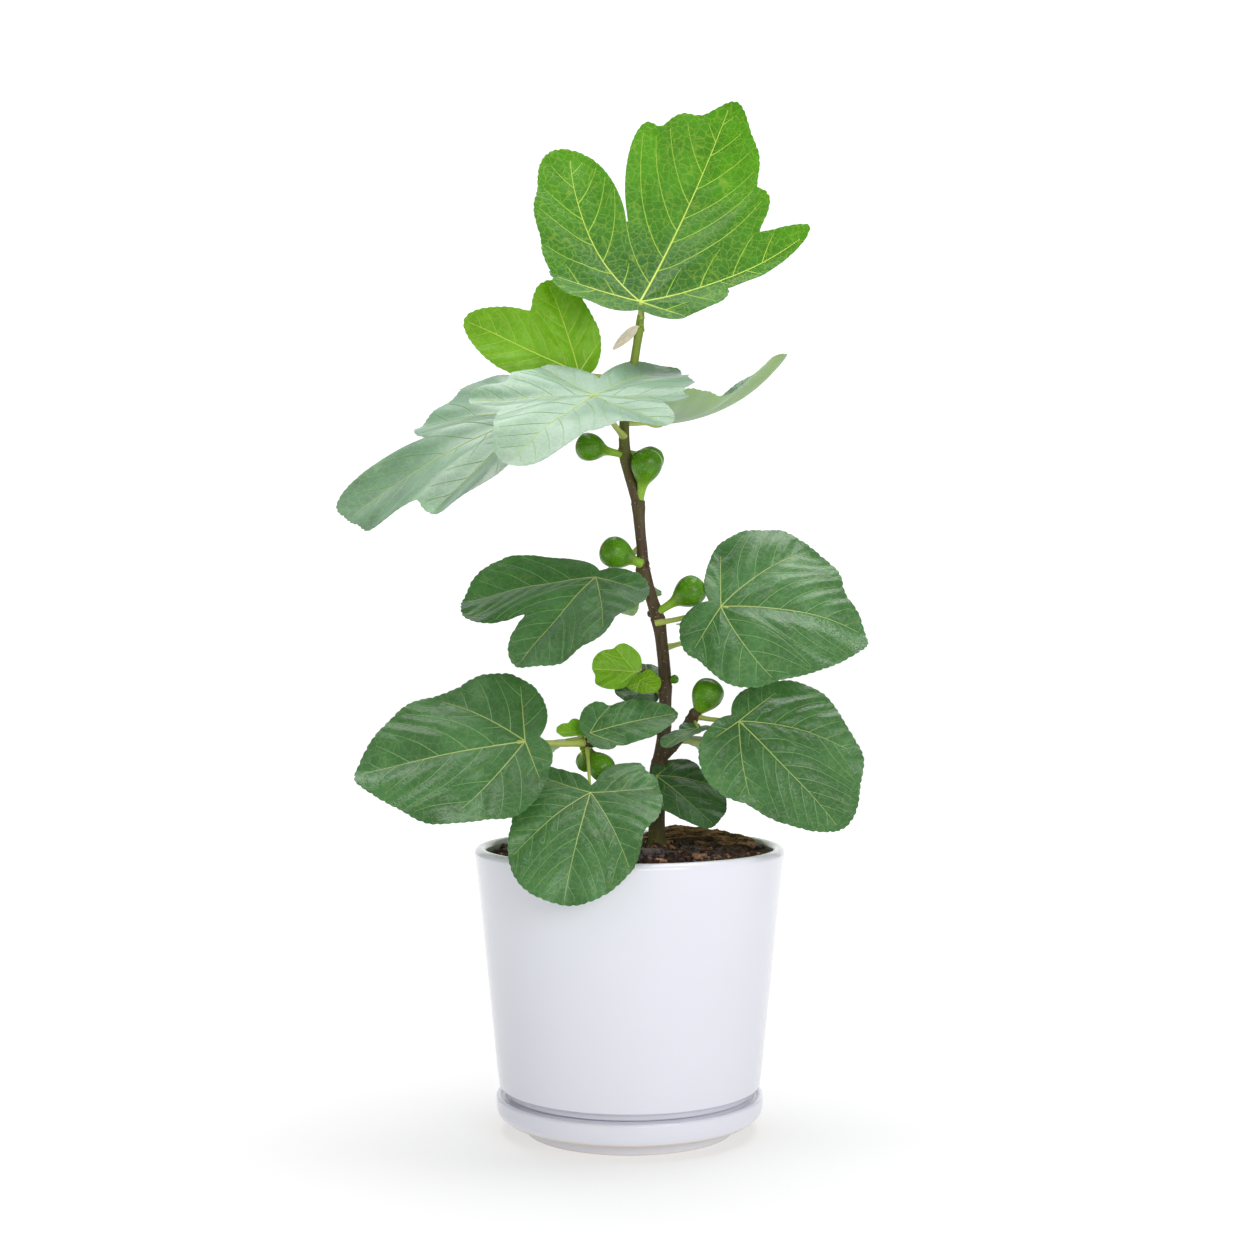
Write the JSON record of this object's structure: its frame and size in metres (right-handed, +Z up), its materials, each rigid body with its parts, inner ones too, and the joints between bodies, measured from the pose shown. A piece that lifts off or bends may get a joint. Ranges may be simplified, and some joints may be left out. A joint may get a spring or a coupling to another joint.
{
  "type": "potted fig plant",
  "caption": "Young fig plant with a leaning stem, broad lobed leaves on long stalks and round green figs, in a tapered glazed pot that stands in a low saucer.",
  "frame": {"origin": "centre of the saucer's flat underside", "axes": "+Z up, -Y towards the front as pictured, +X to the viewer's right"},
  "size_m": [0.3719, 0.2897, 0.7383],
  "materials": {
    "glaze": "gloss",
    "soil": "matte",
    "bark": "matte",
    "stem": "satin",
    "leaf": "satin",
    "young_leaf": "satin",
    "fig": "satin",
    "stipule": "matte"
  },
  "bodies": {
    "root": {"main_stem": "stem", "shoot_left": "stem", "shoot_right": "stem", "shoot_small": "stem", "leaf_top": "young_leaf", "leaf_upper_left": "young_leaf", "leaf_middle_front": "leaf", "leaf_middle_right": "leaf", "leaf_middle_left": "leaf", "leaf_lower_left": "leaf", "leaf_lower_right": "leaf", "leaf_shoot_right": "leaf", "leaf_shoot_edge": "leaf", "leaf_stem_foot": "leaf", "leaf_shoot_left": "leaf", "leaf_bud": "young_leaf", "leaf_over_rim": "leaf", "leaf_small_left": "young_leaf", "leaf_small_right": "young_leaf", "leaf_small_back": "leaf", "leaf_inner": "leaf", "leaf_rear_top": "young_leaf", "leaf_rear_upper": "leaf", "leaf_rear_middle": "leaf", "leaf_rear_lower": "leaf", "leaf_rear_left": "leaf", "leaf_rear_right": "leaf", "dry_scale": "stipule", "fig_top_left": "fig", "fig_top_right": "fig", "fig_top_rear": "fig", "fig_middle": "fig", "fig_right": "fig", "fig_shoot": "fig", "fig_front": "fig", "fig_behind": "fig", "fig_bud": "fig", "pot": "glaze", "saucer": "glaze", "soil": "soil", "bark_slab": "bark", "bark_front": "bark", "bark_front_small": "bark", "bark_chip": "bark"}
  },
  "joints": []
}
